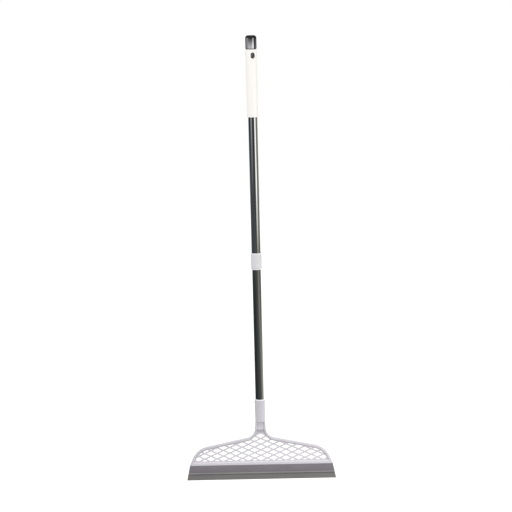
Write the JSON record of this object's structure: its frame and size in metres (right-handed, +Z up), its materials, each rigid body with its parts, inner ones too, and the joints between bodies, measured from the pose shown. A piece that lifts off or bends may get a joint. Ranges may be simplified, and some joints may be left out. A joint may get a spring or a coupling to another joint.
{
  "type": "telescopic floor wiper",
  "caption": "Floor wiper: a slim two-tube pole with a twist lock and hanging eye, and a flat openwork fan head carrying a rubber strip.",
  "frame": {"origin": "middle of the hanging eye, on the pole's axis", "axes": "+Z up along the pole towards the end cap, +X along the rubber strip, -Y towards the head's front"},
  "size_m": [0.3306, 0.0242, 0.9734],
  "materials": {
    "cap_black": "black, mirror gloss",
    "grip_white": "warm white, satin",
    "tube_steel": "polished steel",
    "head_pale": "pale grey, satin",
    "collar_pale": "very pale grey, satin",
    "lock_plastic": "dark grey, plain",
    "strip_rubber": "mid grey, matt"
  },
  "bodies": {
    "handle": {"hanger_cap": "cap_black", "grip": "grip_white", "upper_tube": "tube_steel", "collar": "collar_pale"},
    "glide": {"glide_ring": "lock_plastic"},
    "lower_pole": {"lower_tube": "tube_steel", "lock_spindle": "lock_plastic", "tip_plug": "lock_plastic", "head": "head_pale", "blade": "strip_rubber"},
    "cam": {"lock_cam": "lock_plastic"}
  },
  "joints": [
    {"name": "pole_slide", "type": "slide", "parent": "handle", "child": "glide", "axis": [0, 0, 1], "range_m": [-0.07, 0.28]},
    {"name": "pole_twist", "type": "hinge", "parent": "glide", "child": "lower_pole", "pos_m": [0, 0, -0.357], "axis": [0, 0, 1], "range_deg": [0, 180]},
    {"name": "cam_turn", "type": "hinge", "parent": "lower_pole", "child": "cam", "pos_m": [0.0006, 0, -0.345], "axis": [0, 0, 1], "range_deg": [-180, 0]}
  ],
  "couplings": [
    {"joint": "cam_turn", "follows": "pole_twist", "ratio": -1}
  ]
}
